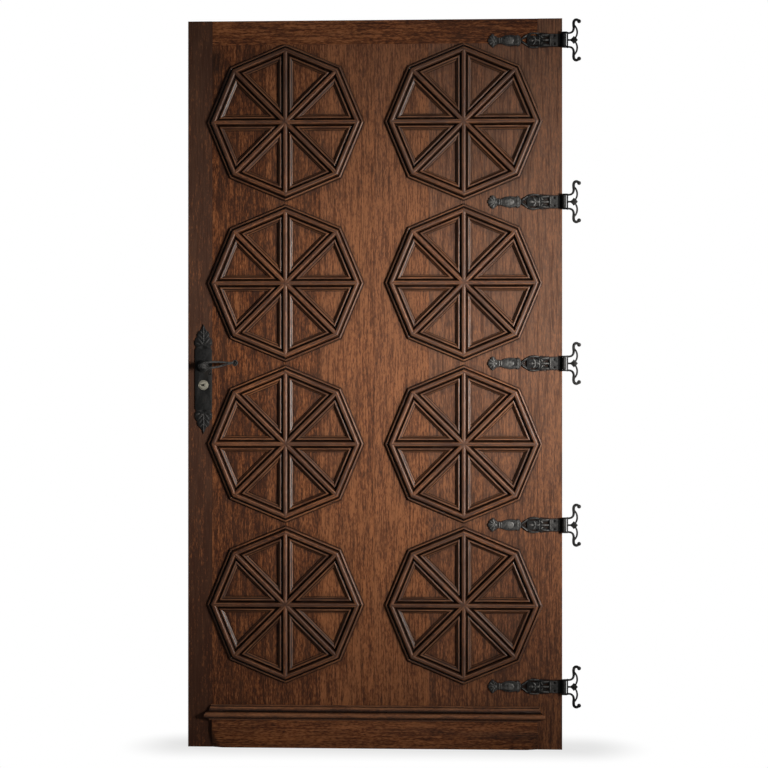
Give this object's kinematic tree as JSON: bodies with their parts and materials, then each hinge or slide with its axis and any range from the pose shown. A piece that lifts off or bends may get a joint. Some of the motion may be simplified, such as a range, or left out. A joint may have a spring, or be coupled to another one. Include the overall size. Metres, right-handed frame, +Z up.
{
  "type": "carved solid door",
  "caption": "Solid timber door leaf with planted octagon mouldings, weather bar, wrought strap hinges with scrolled jamb leaves, and a lever lock.",
  "frame": {"origin": "centre of the object's bottom, from the lock edge to the ends of the jamb scrolls", "axes": "+Z up, +X towards the hinges, the carved face looks along -Y"},
  "size_m": [1.134, 0.1336, 2.1],
  "materials": {
    "frame_wood": "worn oil",
    "field_wood": "worn oil",
    "moulding_wood": "worn oil",
    "wrought_iron": "blackened",
    "lock_steel": "plain",
    "pale_brass": "dulled"
  },
  "bodies": {
    "hinge_jamb": {"jamb_leaf_1": "wrought_iron", "jamb_leaf_2": "wrought_iron", "jamb_leaf_3": "wrought_iron", "jamb_leaf_4": "wrought_iron", "jamb_leaf_5": "wrought_iron"},
    "door_leaf": {"lock_stile": "frame_wood", "hinge_stile": "frame_wood", "top_rail": "frame_wood", "kick_rail": "frame_wood", "weather_bar": "frame_wood", "field_board_1": "field_wood", "field_board_2": "field_wood", "field_board_3": "field_wood", "field_board_4": "field_wood", "field_board_5": "field_wood", "field_board_6": "field_wood", "octagon_moulding_r1c1": "moulding_wood", "octagon_moulding_r1c2": "moulding_wood", "octagon_moulding_r2c1": "moulding_wood", "octagon_moulding_r2c2": "moulding_wood", "octagon_moulding_r3c1": "moulding_wood", "octagon_moulding_r3c2": "moulding_wood", "octagon_moulding_r4c1": "moulding_wood", "octagon_moulding_r4c2": "moulding_wood", "strap_1": "wrought_iron", "strap_2": "wrought_iron", "strap_3": "wrought_iron", "strap_4": "wrought_iron", "strap_5": "wrought_iron", "front_plate": "wrought_iron", "back_plate": "wrought_iron", "lock_case": "lock_steel", "faceplate": "lock_steel", "cylinder_body": "pale_brass"},
    "lever_set": {"front_lever": "wrought_iron", "back_lever": "wrought_iron", "spindle": "lock_steel", "follower": "lock_steel"},
    "latch": {"latch_bolt": "lock_steel"},
    "bolt": {"dead_bolt": "lock_steel"},
    "key_core": {"cylinder_plug": "pale_brass"}
  },
  "joints": [
    {"name": "door_swing", "type": "hinge", "parent": "hinge_jamb", "child": "door_leaf", "pos_m": [0.518, -0.0305, 1.109], "axis": [0, 0, 1], "range_deg": [0, 165]},
    {"name": "lever_turn", "type": "hinge", "parent": "door_leaf", "child": "lever_set", "pos_m": [-0.522, 0, 1.102], "axis": [0, 1, 0], "range_deg": [0, 40], "stiffness_Nm_per_rad": 0.8, "springref_deg": -28.65},
    {"name": "latch_slide", "type": "slide", "parent": "door_leaf", "child": "latch", "axis": [-1, 0, 0], "range_m": [0, 0.011]},
    {"name": "key_turn", "type": "hinge", "parent": "door_leaf", "child": "key_core", "pos_m": [-0.522, 0, 1.047], "axis": [0, 1, 0], "range_deg": [0, 360]},
    {"name": "bolt_slide", "type": "slide", "parent": "door_leaf", "child": "bolt", "axis": [-1, 0, 0], "range_m": [0, 0.02]}
  ],
  "couplings": [
    {"joint": "bolt_slide", "follows": "key_turn", "m_per_rad": 0.0031815}
  ]
}
